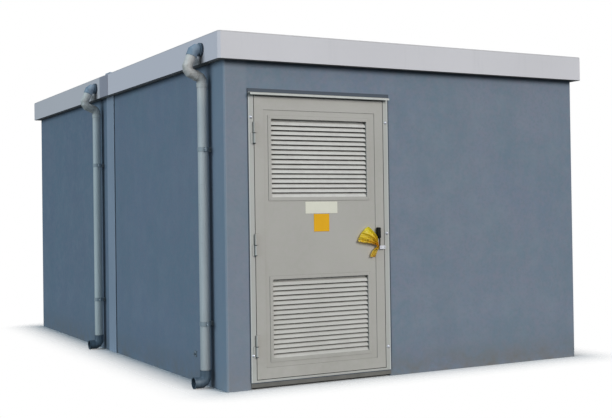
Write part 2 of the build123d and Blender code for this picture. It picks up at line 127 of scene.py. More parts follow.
# Dirt, wear, painted light and painted shade on the building. A pair of heights says where a change
# starts and where it ends.
# A core is the part of a patch that keeps its full strength before it fades.
facing_fully = -0.9
facing_hardly = -0.5
module_gap_ends = (-0.01, 0.01)
eaves_shade_depth = 0.055
foot_shade_heights = (0.05, 0.4)
foot_grime_height = 0.22
pipe_shade_core = 0.4
pipe_shade_reach = 0.05
pale_by_door_fade = 0.02
pale_by_pipe_fade = 0.1
corner_highlight_width = 0.018
corner_highlight_core = 0.6
frame_highlight_width = 0.008
frame_highlight_overrun = 0.01
roof_edge_height = 0.012
outlet_shadow_reach = 0.15
outlet_shadow_shift = 0.07
outlet_shadow_height = 0.075
shade_and_dirt_core = 0.5
door_dust_start = 0.05
overhang_crevice = 0.08
door_crevice = 0.02
pipe_crevice = 0.012

# Wear, dirt and painted shade on the pipes: heights, places along Y, and distances from the roof
pipe_dust_heights = (0.05, 0.6)
near_to_far_pipe = (-1, 0)
bleached_heights = (2.06, 2.30)
bend_soil_start_heights = (2.16, 2.28)
bend_soil_end_heights = (2.36, 2.44)
elbow_seat_from_roof = (0.024, 0.014)
elbow_seat_rise = 0.01

# The heights where the film's colours and its painted light change, and the share of light that it
# lets through
film_top_heights = (1.10, 1.17)
film_knot_heights = (0.985, 1.06)
film_tail_heights = (0.985, 1.0)
film_end_heights = (0.94, 0.975)
film_stain_heights = (0.95, 1.075)
film_light_through = 0.34

# Camera of the photograph
photo_width = 612
photo_height = 418
photo_centre = (307, 197.5)
camera_place = Vector((-4.662, -9.4265, 1.2947))
camera_turn = math.radians(28.422)
camera_tilt = math.radians(0.726)
camera_roll = math.radians(-0.806)
camera_focal_pixels = 1035.5
camera_sensor_width = 36
camera_reach = 200

# Floor
floor_half_size = 60
floor_drop = 0.001
floor_inset = (0.2, 0.1)
floor_fade = 0.5
floor_colour = (0.8, 0.8, 0.8, 1)

# Light. Each lamp has the direction that it comes from, its strength, its colour and its spread
# in degrees. The sky's strength rises between two heights of the direction looked in.
sky_colour = (0.82, 0.95, 1.05, 1)
sky_heights = (-0.3, 1)
sky_below = 0.11
sky_above = 0.38
front_light = ((0.35, -0.85, 0.42), 2.08, (1.0, 1.0, 0.985), 30)
side_light = ((-1.0, -0.15, 0.32), 1.49, (0.71, 0.89, 1.0), 45)


# Materials


def linear(red, green, blue):
    """A colour picked as screen values from 0 to 255, as the renderer's linear colour."""
    values = []
    for value in (red, green, blue):
        share = value / 255
        values.append(share / 12.92 if share <= 0.04045 else ((share + 0.055) / 1.055) ** 2.4)
    return (*values, 1)


class Finish:
    """A material under construction: one surface shader and the nodes that feed it."""

    def __init__(self, name, roughness, metallic=0.0, specular=0.5):
        self.material = bpy.data.materials.new(name)
        self.material.use_nodes = True
        self.tree = self.material.node_tree
        self.surface = self.tree.nodes["Principled BSDF"]
        self.rough(roughness)
        self.feed(self.surface, "Metallic", metallic)
        self.feed(self.surface, "Specular IOR Level", specular)
        self.place = self.tree.nodes.new("ShaderNodeTexCoord").outputs["Object"]

    def feed(self, node, socket, value):
        """Gives a socket another node's output, or a plain value."""
        if isinstance(value, bpy.types.NodeSocket):
            self.tree.links.new(value, node.inputs[socket])
        else:
            node.inputs[socket].default_value = value

    def node(self, kind, inputs, **settings):
        """A new node with these settings and inputs."""
        node = self.tree.nodes.new(kind)
        for setting, value in settings.items():
            setattr(node, setting, value)
        for socket, value in inputs.items():
            self.feed(node, socket, value)
        return node

    def paint(self, colour):
        self.feed(self.surface, "Base Color", colour)

    def rough(self, value):
        self.feed(self.surface, "Roughness", value)

    def maths(self, operation, first, second=0.0):
        node = self.node("ShaderNodeMath", {0: first, 1: second}, operation=operation)
        return node.outputs["Value"]

    def product(self, first, second):
        return self.maths("MULTIPLY", first, second)

    def vector_maths(self, operation, first, second=(0, 0, 0)):
        node = self.node("ShaderNodeVectorMath", {0: first, 1: second}, operation=operation)
        return node.outputs

    def mix(self, share, first, second):
        """Two colours mixed by a share, each a plain colour or another node's output."""
        node = self.node("ShaderNodeMix", {0: share, 6: first, 7: second}, data_type="RGBA")
        return node.outputs[2]

    def ramp(self, value, low, high, low_out=0.0, high_out=1.0):
        """The value from low to high, spread between two new ends and held there."""
        inputs = {"Value": value, "From Min": low, "From Max": high, "To Min": low_out,
                  "To Max": high_out}
        return self.node("ShaderNodeMapRange", inputs, clamp=True).outputs["Result"]

    def between(self, value, low, high, soft):
        """One between two ends of a value, with soft ends, and zero outside."""
        return self.product(self.ramp(value, low - soft, low + soft),
                            self.ramp(value, high - soft, high + soft, 1, 0))

    def along(self, axis):
        """The place along X, Y or Z."""
        return self.node("ShaderNodeSeparateXYZ", {"Vector": self.place}).outputs[axis]

    def facing(self, axis):
        """How far the surface faces along X, Y or Z."""
        normal = self.tree.nodes.new("ShaderNodeNewGeometry").outputs["True Normal"]
        return self.node("ShaderNodeSeparateXYZ", {"Vector": normal}).outputs[axis]

    def faces_low(self, axis):
        """One where the surface faces the low end of an axis, and zero on the other sides."""
        return self.ramp(self.facing(axis), facing_fully, facing_hardly, 1, 0)

    def behind_pipes(self, reach, most, shift=0.0):
        """How close the left side lies to a line behind each downpipe, from zero to this most."""
        close = []
        for line in pipe_lines:
            offset = self.maths("SUBTRACT", self.along("Y"), line + shift)
            distance = self.maths("ABSOLUTE", offset)
            close.append(self.ramp(distance, reach * pipe_shade_core, reach, most, 0))
        return self.product(self.maths("MAXIMUM", *close), self.faces_low("X"))

    def crevices(self, reach):
        """One in the open, falling to zero in gaps and corners closer than the reach."""
        return self.node("ShaderNodeAmbientOcclusion", {"Distance": reach}, samples=8).outputs["AO"]

    def stretched(self, scale):
        """The object's own coordinates, stretched by these three factors."""
        node = self.node("ShaderNodeMapping", {"Vector": self.place, "Scale": scale})
        return node.outputs["Vector"]

    def noise(self, scale, detail=3.0, roughness=0.55, place=None):
        inputs = {"Vector": place or self.place, "Scale": scale, "Detail": detail,
                  "Roughness": roughness}
        return self.node("ShaderNodeTexNoise", inputs).outputs["Fac"]

    def mottled(self, colour, over, scale, start, full, most=1.0, detail=3, roughness=0.55,
                stretch=None):
        """The colour with another over it in patches, where a noise runs from start to full."""
        place = self.stretched(stretch) if stretch else None
        share = self.ramp(self.noise(scale, detail, roughness, place), start, full, 0, most)
        return self.mix(share, colour, over)

    def broken(self, share, scale, start, full, least=0.0, detail=3, roughness=0.55):
        """A share broken up by a noise, which leaves at least this part of it."""
        kept = self.ramp(self.noise(scale, detail, roughness), start, full, least, 1)
        return self.product(share, kept)

    def relief(self, scale, strength, depth, detail=3, roughness=0.55):
        """Lays one more fine relief over those already there."""
        height = self.noise(scale, detail, roughness)
        inputs = {"Height": height, "Strength": strength, "Distance": depth}
        earlier = self.surface.inputs["Normal"].links
        if earlier:
            inputs["Normal"] = earlier[0].from_socket
        self.feed(self.surface, "Normal", self.node("ShaderNodeBump", inputs).outputs["Normal"])


def wall_render(name, dark, light):
    """Fine painted render: clouds, patches, grains, a trowel's sweep, dirt where rain runs, and
    painted light and shade.
    """
    finish = Finish(name, 0.85, specular=0.3)
    height = finish.along("Z")
    in_front = finish.faces_low("Y")
    on_left = finish.faces_low("X")
    # Clouds, weathered areas, patches, flecks, smears and rain streaks
    colour = finish.mottled(dark, light, scale=0.9, start=0.35, full=0.65, detail=4)
    colour = finish.mottled(colour, linear(106, 129, 142), scale=1.9, start=0.42, full=0.6,
                            most=0.45, roughness=0.5)
    colour = finish.mottled(colour, linear(132, 132, 146), scale=22, start=0.4, full=0.62, most=0.5,
                            roughness=0.6)
    colour = finish.mottled(colour, linear(108, 128, 138), scale=48, start=0.45, full=0.65,
                            most=0.45, roughness=0.6)
    colour = finish.mottled(colour, linear(132, 143, 154), scale=7, start=0.45, full=0.7, most=0.4,
                            detail=6, roughness=0.65)
    colour = finish.mottled(colour, linear(100, 114, 128), scale=3, start=0.5, full=0.8, most=0.25,
                            detail=5, roughness=0.6, stretch=(1, 1, 0.12))
    # Painted shade under the eaves and behind the pipes
    eaves = finish.ramp(height, wall_high.z - eaves_shade_depth, wall_high.z)
    eaves = finish.product(finish.product(eaves, eaves), 0.7)
    colour = finish.mix(eaves, colour, linear(30, 34, 38))
    colour = finish.mix(finish.behind_pipes(pipe_shade_reach, 0.38), colour, linear(52, 64, 76))
    # Painted shade low on the wall, and dirt at the foot
    foot_shade = finish.ramp(height, *foot_shade_heights, 0.22, 0)
    colour = finish.mix(foot_shade, colour, linear(84, 92, 98))
    grime_and_shade = finish.ramp(height, 0, foot_grime_height, 1, 0)
    grime_and_shade = finish.broken(grime_and_shade, scale=7, start=0.35, full=0.7, detail=6, roughness=0.7)
    colour = finish.mix(grime_and_shade, colour, linear(112, 108, 104))
    # A cooler left side as painted light, and a paler strip beside the door
    colour = finish.mix(finish.product(on_left, 0.12), colour, linear(100, 134, 166))
    by_door = finish.ramp(finish.along("X"), frame_low.x - pale_by_door_fade, frame_low.x, 0.28, 0)
    colour = finish.mix(finish.product(in_front, by_door), colour, linear(146, 150, 158))
    # Painted light on the left wall between the near pipe and the corner
    by_pipe = finish.ramp(finish.along("Y"), pipe_lines[0] - pale_by_pipe_fade, pipe_lines[0],
                          0.48, 0)
    colour = finish.mix(finish.product(on_left, by_pipe), colour, linear(139, 155, 170))
    # A painted highlight down the front corner
    edge = finish.ramp(finish.along("X"), wall_left + corner_highlight_width * corner_highlight_core,
                       wall_left + corner_highlight_width, 0.35, 0)
    finish.paint(finish.mix(finish.product(in_front, edge), colour, linear(158, 166, 176)))
    finish.relief(scale=9, strength=0.35, depth=0.004, detail=4, roughness=0.6)
    finish.relief(scale=420, strength=0.5, depth=0.0012, detail=2, roughness=0.5)
    return finish.material


def bare_concrete():
    finish = Finish("trowelled concrete", 0.9, specular=0.3)
    finish.paint(finish.mottled(linear(94, 92, 88), linear(117, 114, 109), scale=4, start=0.3,
                                full=0.7, detail=6, roughness=0.6))
    finish.relief(scale=160, strength=0.4, depth=0.001, detail=4, roughness=0.6)
    return finish.material


def fascia_paint():
    """Smooth pale paint with rain marks, and painted shade below the outlets and under the
    overhang.
    """
    finish = Finish("smooth fascia paint", 0.6, specular=0.4)
    height = finish.along("Z")
    colour = finish.mottled(linear(213, 209, 212), linear(217, 213, 216), scale=1.1, start=0.35,
                            full=0.65, detail=4, roughness=0.5)
    colour = finish.mottled(colour, linear(182, 181, 182), scale=14, start=0.55, full=0.85,
                            most=0.18, detail=5, roughness=0.6, stretch=(1, 1, 0.1))
    # The far module's paint is a little paler. Painted light on the near one's left face
    far = finish.ramp(finish.along("Y"), *module_gap_ends, 0, 0.5)
    colour = finish.mix(far, colour, linear(224, 213, 214))
    near = finish.ramp(finish.along("Y"), *module_gap_ends, 1, 0)
    colour = finish.mix(finish.product(finish.faces_low("X"), near), colour, linear(228, 220, 225))
    # Painted shadow of the outlet elbows, on the fascia below them
    low = finish.ramp(height, roof_low.z + outlet_shadow_height * shade_and_dirt_core,
                      roof_low.z + outlet_shadow_height, 1, 0)
    soil_and_shade = finish.product(finish.behind_pipes(outlet_shadow_reach, 0.85, outlet_shadow_shift), low)
    soil_and_shade = finish.broken(soil_and_shade, scale=40, start=0.3, full=0.5, least=0.55, detail=4, roughness=0.65)
    colour = finish.mix(soil_and_shade, colour, linear(70, 72, 68))
    # Dirt along the top edge
    top = finish.ramp(height, roof_high.z - roof_edge_height,
                      roof_high.z - roof_edge_height * shade_and_dirt_core, 0, 0.45)
    top = finish.broken(top, scale=30, start=0.3, full=0.6, least=0.5, detail=4, roughness=0.6)
    colour = finish.mix(top, colour, linear(158, 152, 144))
    # Painted shade on the underside, darkest against the wall
    open_air = finish.ramp(finish.crevices(overhang_crevice), 0.2, 0.6)
    grime_and_shade = finish.mix(open_air, linear(40, 40, 36), linear(132, 130, 122))
    finish.paint(finish.mix(finish.faces_low("Z"), colour, grime_and_shade))
    finish.relief(scale=60, strength=0.15, depth=0.0008, roughness=0.5)
    return finish.material


def joint_paint(name, dark, light):
    """Painted folded sheet over the joint."""
    finish = Finish(name, 0.5)
    finish.paint(finish.mottled(dark, light, scale=3, start=0.35, full=0.65, detail=4,
                                roughness=0.6, stretch=(1, 1, 0.4)))
    finish.relief(scale=25, strength=0.1, depth=0.001, detail=2, roughness=0.5)
    return finish.material


def door_coating(name, dark, light, dust_height, highlight_places=()):
    """Grey-beige coating: fine orange-peel skin, dust at the foot, painted highlights on edges,
    dirt and painted shade in gaps.
    """
    finish = Finish(name, 0.45, specular=0.45)
    colour = finish.mottled(dark, light, scale=1.6, start=0.35, full=0.65, roughness=0.5)
    colour = finish.mottled(colour, linear(184, 176, 174), scale=24, start=0.42, full=0.62,
                            most=0.3, roughness=0.6)
    dust = finish.ramp(finish.along("Z"), door_dust_start, dust_height, 0.35, 0)
    dust = finish.broken(dust, scale=9, start=0.3, full=0.7, detail=6, roughness=0.65)
    colour = finish.mix(dust, colour, linear(150, 146, 137))
    # Painted highlights along the given edges
    for low, high in highlight_places:
        edge = finish.between(finish.along("X"), low, high, soft=0.002)
        colour = finish.mix(edge, colour, linear(194, 195, 192))
    # Dirt and painted shade in gaps and grooves
    gaps = finish.ramp(finish.crevices(door_crevice), 0.35, 0.8, 0.7, 0)
    finish.paint(finish.mix(gaps, colour, linear(70, 68, 60)))
    finish.rough(finish.ramp(finish.noise(5), 0.3, 0.7, 0.4, 0.55))
    finish.relief(scale=500, strength=0.12, depth=0.0004, detail=2, roughness=0.5)
    return finish.material


def plate_finish(name, colour, roughness):
    """A small blank plate, slightly faded in patches."""
    finish = Finish(name, roughness, specular=0.2)
    faded = tuple(min(1, value * 1.06) for value in colour[:3]) + (1,)
    finish.paint(finish.mottled(colour, faded, scale=9, start=0.3, full=0.7, detail=2))
    finish.relief(scale=300, strength=0.08, depth=0.0003, detail=2)
    return finish.material


def black_moulding():
    finish = Finish("black moulded plastic", 0.6, specular=0.15)
    finish.paint(finish.mottled(linear(12, 12, 10), linear(26, 27, 25), scale=60, start=0.4,
                                full=0.7, detail=4))
    finish.relief(scale=900, strength=0.2, depth=0.0003, detail=2)
    return finish.material


def zinc_plate():
    finish = Finish("zinc plated steel", 0.35, metallic=0.6)
    finish.paint(finish.mottled(linear(212, 211, 218), linear(243, 241, 247), scale=90, start=0.3,
                                full=0.7, detail=4))
    finish.rough(finish.ramp(finish.noise(140), 0.3, 0.7, 0.25, 0.5))
    finish.relief(scale=700, strength=0.1, depth=0.0002, detail=2)
    return finish.material


def weathered_steel():
    """Small steel parts that have gone dull and dark outdoors."""
    finish = Finish("dull weathered steel", 0.6, metallic=0.2)
    finish.paint(finish.mottled(linear(96, 104, 112), linear(158, 166, 172), scale=80, start=0.35,
                                full=0.65, detail=4))
    finish.relief(scale=300, strength=0.3, depth=0.0004)
    return finish.material


def weathered_pipe(name, dark, light, dustiness, head_fade=0.0, underside=0.0):
    """Plastic pipe with long rain streaks, a bleached head, dirt and painted shade in its joints,
    and dust below.
    """
    finish = Finish(name, 0.5, specular=0.45)
    height = finish.along("Z")
    depth = finish.along("Y")
    colour = finish.mottled(dark, light, scale=22, start=0.35, full=0.7, detail=5, roughness=0.6,
                            stretch=(1, 1, 0.08))
    colour = finish.mottled(colour, linear(112, 116, 112), scale=55, start=0.58, full=0.8, most=0.5,
                            detail=6, roughness=0.7)
    dust = finish.ramp(height, *pipe_dust_heights, dustiness, 0)
    colour = finish.mix(dust, colour, linear(120, 116, 108))
    # The far pipe is paler all the way, the near one at its head
    far_side = finish.ramp(depth, *near_to_far_pipe, 0, 0.35 * head_fade)
    colour = finish.mix(far_side, colour, linear(214, 222, 218))
    bleached = finish.ramp(height, *bleached_heights, 0, head_fade)
    bleached = finish.broken(bleached, scale=30, start=0.3, full=0.6, least=0.6, detail=4,
                             roughness=0.6)
    bleached = finish.product(bleached, finish.ramp(depth, *near_to_far_pipe, 1, 0.45))
    colour = finish.mix(bleached, colour, linear(226, 219, 213))
    # Painted shade underneath, dirt on the bends and painted shade at the seat by the roof
    underside_shade = finish.ramp(finish.facing("Z"), -0.8, 0.1, underside, 0)
    colour = finish.mix(underside_shade, colour, linear(30, 40, 46))
    soil_and_shade = finish.ramp(height, *bend_soil_start_heights, 0, 0.45)
    soil_and_shade = finish.broken(soil_and_shade, scale=24, start=0.35, full=0.6, detail=5, roughness=0.65)
    soil_and_shade = finish.product(soil_and_shade, finish.ramp(height, *bend_soil_end_heights, 1, 0))
    colour = finish.mix(soil_and_shade, colour, linear(118, 108, 92))
    # Painted shade where the elbow meets the fascia
    seat_start, seat_end = (roof_low.x - distance for distance in elbow_seat_from_roof)
    seat = finish.product(finish.ramp(finish.along("X"), seat_start, seat_end, 0, 0.85),
                          finish.ramp(height, wall_high.z, wall_high.z + elbow_seat_rise))
    colour = finish.mix(seat, colour, linear(26, 40, 56))
    # Dirt and painted shade in the joints
    joints = finish.ramp(finish.crevices(pipe_crevice), 0.4, 0.85, 0.8, 0)
    finish.paint(finish.mix(joints, colour, linear(56, 54, 48)))
    finish.relief(scale=200, strength=0.1, depth=0.0004, detail=2)
    return finish.material


# A plain dark finish: for the sealant bead, and for painted shade in open joints
def sealant(name, colour):
    finish = Finish(name, 0.6)
    finish.paint(colour)
    finish.relief(scale=120, strength=0.3, depth=0.001)
    return finish.material


def yellow_plastic_film():
    """Thin film that lets light through: green-yellow above, orange at the knot and the end,
    painted light on the tail.
    """
    finish = Finish("yellow plastic film", 0.35)
    height = finish.along("Z")
    colour = finish.mottled(linear(232, 199, 46), linear(248, 220, 62), scale=26, start=0.35,
                            full=0.65)
    # Greener and lighter towards the top
    colour = finish.mix(finish.ramp(height, *film_top_heights), colour, linear(248, 234, 52))
    blotches = finish.ramp(finish.noise(48, 4, 0.6), 0.45, 0.6)
    knot = finish.product(finish.between(height, *film_knot_heights, soft=0.02),
                          finish.ramp(blotches, 0, 1, 0.2, 0.7))
    colour = finish.mix(knot, colour, linear(242, 178, 46))
    # Painted light on the tail, against the shade of its pleats
    tail = finish.ramp(height, *film_tail_heights, 0.7, 0)
    colour = finish.mix(tail, colour, linear(255, 234, 112))
    end = finish.product(finish.ramp(height, *film_end_heights, 1, 0), blotches)
    colour = finish.mix(end, colour, linear(198, 124, 60))
    stains = finish.product(finish.ramp(finish.noise(75, 2), 0.56, 0.62, 0, 0.85),
                            finish.between(height, *film_stain_heights, soft=0.015))
    colour = finish.mix(stains, colour, linear(112, 74, 30))
    finish.paint(colour)
    finish.relief(scale=130, strength=0.25, depth=0.001, detail=4, roughness=0.6)
    through = finish.node("ShaderNodeBsdfTranslucent", {"Color": colour}).outputs["BSDF"]
    surface = finish.surface.outputs["BSDF"]
    blend = finish.node("ShaderNodeMixShader", {0: film_light_through, 1: surface, 2: through})
    finish.feed(finish.tree.nodes["Material Output"], "Surface", blend.outputs["Shader"])
    return finish.material


near_render = wall_render("painted fine render, near module",
                          dark=linear(118, 130, 148), light=linear(127, 135, 150))
far_render = wall_render("painted fine render, far module",
                         dark=linear(110, 123, 140), light=linear(119, 127, 142))
concrete = bare_concrete()
fascia = fascia_paint()
wall_strip_paint = joint_paint("wall joint strip paint",
                               dark=linear(146, 158, 174), light=linear(154, 165, 181))
fascia_strip_paint = joint_paint("fascia joint strip paint",
                                 dark=linear(167, 163, 173), light=linear(174, 170, 179))
door_paint = door_coating("door coating", dark=linear(175, 171, 163), light=linear(181, 177, 169),
                          dust_height=0.6)
frame_paint = door_coating("door frame coating", dark=linear(178, 177, 171),
                           light=linear(184, 184, 178), dust_height=0.6,
                           highlight_places=[(frame_low.x - frame_highlight_overrun,
                                         frame_low.x + frame_highlight_width),
                                        (frame_high.x - frame_highlight_width,
                                         frame_high.x + frame_highlight_overrun)])
# The slats carry lighter copies of the door's coating, the upper ones more, as painted light
lit_upper_slat_paint = door_coating("upper louvre coating", dark=linear(200, 197, 191),
                                light=linear(207, 204, 198), dust_height=0.5)
lit_lower_slat_paint = door_coating("lower louvre coating", dark=linear(184, 181, 174),
                                light=linear(190, 187, 180), dust_height=0.5)
cap_paint = door_coating("drip cap coating", dark=linear(196, 196, 190),
                         light=linear(206, 206, 200), dust_height=0.1)
cream_plate = plate_finish("cream plate", linear(226, 222, 206), roughness=0.5)
yellow_plate = plate_finish("yellow plate", linear(235, 174, 16), roughness=0.5)
black_plastic = black_moulding()
zinc = zinc_plate()
dull_steel = weathered_steel()
light_pipe = weathered_pipe("weathered grey pipe", dark=linear(181, 186, 188),
                            light=linear(199, 202, 202), dustiness=0.3, head_fade=0.95)
elbow_pipe = weathered_pipe("weathered outlet elbow", dark=linear(116, 137, 157),
                            light=linear(158, 173, 188), dustiness=0)
dark_pipe = weathered_pipe("weathered rain shoe", dark=linear(66, 84, 100),
                           light=linear(104, 122, 136), dustiness=0.08, underside=0.8)
clamp_pipe = weathered_pipe("weathered pipe clamp", dark=linear(140, 151, 158),
                            light=linear(166, 174, 178), dustiness=0.2)
dark_sealant = sealant("dark joint sealant", linear(62, 71, 84))
# Painted shade for the open joints at the wall strips and the hinges
joint_shade = sealant("open joint", linear(22, 34, 46))
film = yellow_plastic_film()

node_finishes = {
    near_render: ["front_wall_left", "front_wall_right", "front_wall_over_door", "near_left_wall",
                  "near_right_wall"],
    far_render: ["far_left_wall", "far_right_wall", "back_wall"],
    concrete: ["near_floor", "far_floor", "threshold"],
    fascia: ["near_roof", "far_roof"],
    wall_strip_paint: ["left_wall_strip", "right_wall_strip", "roof_joint_cap"],
    fascia_strip_paint: ["left_fascia_strip", "right_fascia_strip"],
    frame_paint: ["door_frame", "frame_hinges"],
    door_paint: ["door_leaf", "upper_louvre_frame", "lower_louvre_frame", "leaf_hinges"],
    lit_upper_slat_paint: ["upper_louvre_slats"],
    lit_lower_slat_paint: ["lower_louvre_slats"],
    cap_paint: ["drip_cap"],
    cream_plate: ["cream_plate"],
    yellow_plate: ["yellow_plate"],
    black_plastic: ["lock_block", "handle_lever"],
    zinc: ["hasp"],
    dull_steel: ["earth_terminal"],
    light_pipe: ["downpipes", "offset_bends"],
    clamp_pipe: ["pipe_clamps"],
    elbow_pipe: ["outlet_elbows"],
    dark_pipe: ["rain_shoes"],
}
for finish_material, names in node_finishes.items():
    for name in names:
        nodes[name].data.materials.clear()
        nodes[name].data.materials.append(finish_material)


# Pieces added to the frame


def placed(name, data, material=None):
    """A mesh with its finish, a lamp or a camera, as an object in the scene."""
    if material:
        data.materials.append(material)
    made = bpy.data.objects.new(name, data)
    bpy.context.scene.collection.objects.link(made)
    return made


def shaped(name, shape, material):
    """An edited shape as an object in the scene. The shape itself is then let go."""
    mesh = bpy.data.meshes.new(name)
    shape.to_mesh(mesh)
    shape.free()
    return placed(name, mesh, material)


def smooth_piece(name, vertices, faces, material):
    """A smooth mesh at the origin, with its place in its vertices and its normals outward."""
    mesh = bpy.data.meshes.new(name)
    mesh.from_pydata([tuple(vertex) for vertex in vertices], [], faces)
    shape = bmesh.new()
    shape.from_mesh(mesh)
    bpy.data.meshes.remove(mesh)
    bmesh.ops.recalc_face_normals(shape, faces=shape.faces)
    for face in shape.faces:
        face.smooth = True
    return shaped(name, shape, material)


def turned_head(name, outline, outward, material, sides=20):
    """A small head turned from an outline of (radius, height) pairs, from the wall to its crown."""
    outward = Vector(outward)
    across = outward.orthogonal().normalized()
    up = outward.cross(across)
    vertices = []
    for radius, height in outline:
        for i in range(sides):
            angle = math.tau * i / sides
            spoke = across * math.cos(angle) + up * math.sin(angle)
            vertices.append(outward * height + spoke * radius)
    faces = []
    for row in range(len(outline) - 1):
        here = row * sides
        above = here + sides
        for i in range(sides):
            ahead = (i + 1) % sides
            faces.append((here + i, here + ahead, above + ahead, above + i))
    crown = (len(outline) - 1) * sides
    faces.append(tuple(range(sides)))
    faces.append(tuple(crown + i for i in range(sides)))
    return smooth_piece(name, vertices, faces, material)


def domed(radius, height, steps=5):
    """The outline of a dome of this radius and height, with a small flat on its crown."""
    angles = [dome_sweep * i / steps for i in range(steps + 1)]
    return [(radius * math.cos(angle), height * math.sin(angle)) for angle in angles]


def raised(outline, height):
    """The same outline, moved outwards."""
    return [(radius, place + height) for radius, place in outline]


def repeat_group():
    """Geometry nodes that set one piece at every point, each turned a little by chance."""
    group = bpy.data.node_groups.new("one piece at every point", "GeometryNodeTree")
    for name, kind in (("Points", "Geometry"), ("Piece", "Object"), ("Finish", "Material"),
                       ("Turn", "Vector"), ("Seed", "Int")):
        group.interface.new_socket(name, in_out="INPUT", socket_type="NodeSocket" + kind)
    group.interface.new_socket("Pieces", in_out="OUTPUT", socket_type="NodeSocketGeometry")
    entry = group.nodes.new("NodeGroupInput")
    info = group.nodes.new("GeometryNodeObjectInfo")
    chance = group.nodes.new("FunctionNodeRandomValue")
    chance.data_type = "FLOAT_VECTOR"
    chance.inputs["Min"].default_value = (0, 0, 0)
    place = group.nodes.new("GeometryNodeInstanceOnPoints")
    realize = group.nodes.new("GeometryNodeRealizeInstances")
    finish = group.nodes.new("GeometryNodeSetMaterial")
    leave = group.nodes.new("NodeGroupOutput")
    link = group.links.new
    link(entry.outputs["Piece"], info.inputs["Object"])
    link(entry.outputs["Turn"], chance.inputs["Max"])
    link(entry.outputs["Seed"], chance.inputs["Seed"])
    link(entry.outputs["Points"], place.inputs["Points"])
    link(info.outputs["Geometry"], place.inputs["Instance"])
    link(chance.outputs["Value"], place.inputs["Rotation"])
    link(place.outputs["Instances"], realize.inputs["Geometry"])
    link(realize.outputs["Geometry"], finish.inputs["Geometry"])
    link(entry.outputs["Finish"], finish.inputs["Material"])
    link(finish.outputs["Geometry"], leave.inputs["Pieces"])
    return group


every_point = repeat_group()


def repeated(name, piece, places, material, turn=(0, 0, 0), seed=1):
    """One piece set at each place, made into a plain mesh. The piece itself is then taken away."""
    mesh = bpy.data.meshes.new(name)
    mesh.from_pydata([tuple(place) for place in places], [], [])
    row = placed(name, mesh)
    modifier = row.modifiers.new("repeat", "NODES")
    modifier.node_group = every_point
    values = {"Piece": piece, "Finish": material, "Turn": turn, "Seed": seed}
    for socket in every_point.interface.items_tree:
        if socket.in_out == "INPUT" and socket.name in values:
            modifier[socket.identifier] = values[socket.name]
    bpy.context.view_layer.update()
    evaluated = row.evaluated_get(bpy.context.evaluated_depsgraph_get())
    made = bpy.data.meshes.new_from_object(evaluated)
    row.modifiers.clear()
    row.data = made
    bpy.data.objects.remove(piece)
    return row


def frame_bolts():
    """Domed heads on washers that hold the door frame to the wall."""
    washer = [(bolt_washer_radius, 0), (bolt_washer_radius, bolt_washer_height),
              (bolt_head_radius, bolt_washer_height)]
    dome = raised(domed(bolt_head_radius, bolt_head_height), bolt_washer_height)
    head = turned_head("frame bolt head", washer + dome[1:], (0, -1, 0), zinc)
    left_x = frame_low.x + frame_bolt_inset
    right_x = frame_high.x - frame_bolt_inset
    places = [(left_x, frame_low.y, z) for z in frame_bolt_heights_left]
    places += [(right_x, frame_low.y, z) for z in frame_bolt_heights_right]
    bolts = repeated("frame_bolts", head, places, zinc, turn=(0, math.tau, 0))
    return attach(bolts, "building")


def strip_fixings():
    """Small pan heads down the middle of both wall strips."""
    outline = domed(strip_fixing_radius, strip_fixing_height, steps=4)
    for side, x, outward in (("left", left_strip_low.x, -1), ("right", right_strip_high.x, 1)):
        head = turned_head("strip head", outline, (outward, 0, 0), zinc, sides=16)
        places = [(x, 0, z) for z in strip_fixing_heights]
        row = repeated(side + "_strip_fixings", head, places, wall_strip_paint)
        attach(row, "building")


def clamp_screws():
    """Screw heads that close the lugs of every pipe clamp, on the side away from the wall."""
    lug_x = (pipes_low.x + pipes_high.x) / 2 - lug_face_from_pipe_middle
    reach = pipe_lines[0] - clamps_low.y - lug_screw_from_end
    heights = (clamps_low.z + clamp_half_height, clamps_high.z - clamp_half_height)
    places = [(lug_x, y + side * reach, z) for y in pipe_lines for z in heights for side in (-1, 1)]
    outline = domed(lug_screw_radius, lug_screw_height, steps=4)
    head = turned_head("lug head", outline, (-1, 0, 0), zinc, sides=14)
    screws = repeated("clamp_screws", head, places, zinc, turn=(math.tau, 0, 0), seed=3)
    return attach(screws, "building")


def earth_stud():
    """The stud's end that stands out of the earth terminal's nut."""
    middle = (earth_low + earth_high) / 2
    outline = [(earth_stud_radius, 0), (earth_stud_radius, earth_stud_length - earth_stud_chamfer),
               (earth_stud_radius * 0.75, earth_stud_length)]
    stud = turned_head("earth_stud", outline, (-1, 0, 0), dull_steel, sides=18)
    stud.data.transform(Matrix.Translation((earth_low.x + earth_stud_sunk, middle.y, middle.z)))
    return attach(stud, "building")


def bar(name, low, high, material):
    """A plain small bead between two corners, with its edges eased."""
    low = Vector(low)
    high = Vector(high)
    size = high - low
    shape = bmesh.new()
    bmesh.ops.create_cube(shape, size=1)
    matrix = Matrix.Translation((low + high) / 2) @ Matrix.Diagonal((*size, 1))
    bmesh.ops.transform(shape, matrix=matrix, verts=shape.verts)
    bmesh.ops.bevel(shape, geom=shape.edges[:], offset=min(size) * bead_easing, segments=2,
                    affect="EDGES")
    return shaped(name, shape, material)


def joined(name, pieces):
    """Several meshes of one finish made one."""
    material = pieces[0].data.materials[0]
    shape = bmesh.new()
    for piece in pieces:
        shape.from_mesh(piece.data)
        bpy.data.objects.remove(piece)
    return shaped(name, shape, material)


